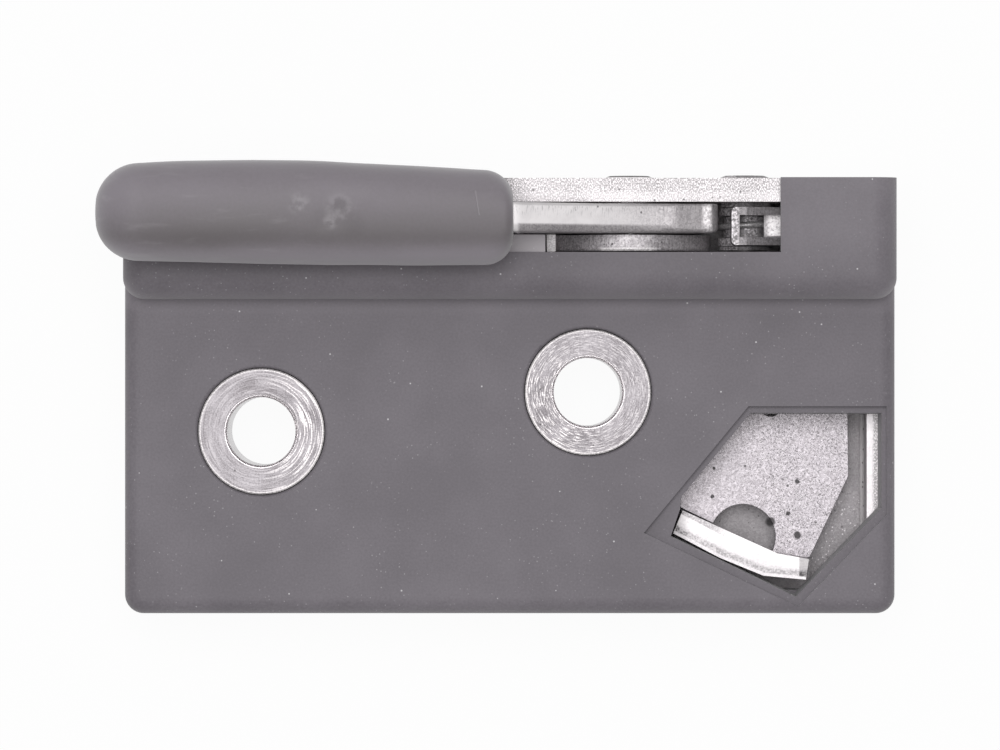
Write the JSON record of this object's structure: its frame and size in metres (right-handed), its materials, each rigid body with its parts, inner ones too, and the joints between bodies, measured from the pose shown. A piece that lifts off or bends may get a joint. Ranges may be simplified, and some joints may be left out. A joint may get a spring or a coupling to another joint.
{
  "type": "door lock",
  "caption": "Slam lock for a cab or cabinet door: moulded cover over a folded steel chassis, lever with a dipped grip, sprung hook catch, bent release plate in a pocket, bushed bolt holes.",
  "frame": {"origin": "axis of the left bushing on the mounting face", "axes": "+X along the lock towards the striker side, +Y across it towards the handle, +Z out of the mounting face towards the user"},
  "size_m": [0.101, 0.0575, 0.04],
  "materials": {
    "moulded_plastic": "fine matt grain",
    "dipped_grip": "soft satin dip",
    "zinc_plated_steel": "bright zinc plate with a fine grain",
    "turned_steel": "turned face with concentric tool marks",
    "spring_steel": "bright drawn wire and strip"
  },
  "bodies": {
    "lock_body": {"chassis": "zinc_plated_steel", "left_bushing": "turned_steel", "right_bushing": "turned_steel", "cover_screws": "zinc_plated_steel", "handle_pivot_pin": "zinc_plated_steel", "handle_washer": "zinc_plated_steel", "handle_retaining_ring": "spring_steel", "spring_cup": "zinc_plated_steel", "handle_spring": "spring_steel", "handle_stop": "zinc_plated_steel", "catch_pivot_pin": "zinc_plated_steel", "catch_sleeve": "zinc_plated_steel", "catch_spring": "spring_steel", "catch_retaining_ring": "spring_steel", "release_pivot_pin": "zinc_plated_steel", "release_washer": "zinc_plated_steel", "cover": "moulded_plastic"},
    "handle": {"handle_lever": "zinc_plated_steel", "handle_grip": "dipped_grip"},
    "catch": {"catch": "zinc_plated_steel"},
    "release": {"release_plate": "zinc_plated_steel"}
  },
  "joints": [
    {"name": "handle_lift", "type": "hinge", "parent": "lock_body", "child": "handle", "pos_m": [0.0468, 0.027, 0.0148], "axis": [0, 1, 0], "range_deg": [0, 20], "stiffness_Nm_per_rad": 0.5, "springref_deg": -22.92, "deforming": ["handle_spring"]},
    {"name": "catch_turn", "type": "hinge", "parent": "lock_body", "child": "catch", "pos_m": [0.0615, 0.027, 0.0165], "axis": [0, 1, 0], "range_deg": [0, 21], "stiffness_Nm_per_rad": 0.05, "springref_deg": -28.65, "deforming": ["catch_spring"]},
    {"name": "release_turn", "type": "hinge", "parent": "lock_body", "child": "release", "pos_m": [0.0525, -0.0015, 0.0075], "axis": [0, 0, 1], "range_deg": [0, 6]}
  ],
  "couplings": [
    {"joint": "catch_turn", "follows": "handle_lift", "ratio": 1.05},
    {"joint": "release_turn", "follows": "handle_lift", "ratio": 0.3}
  ]
}
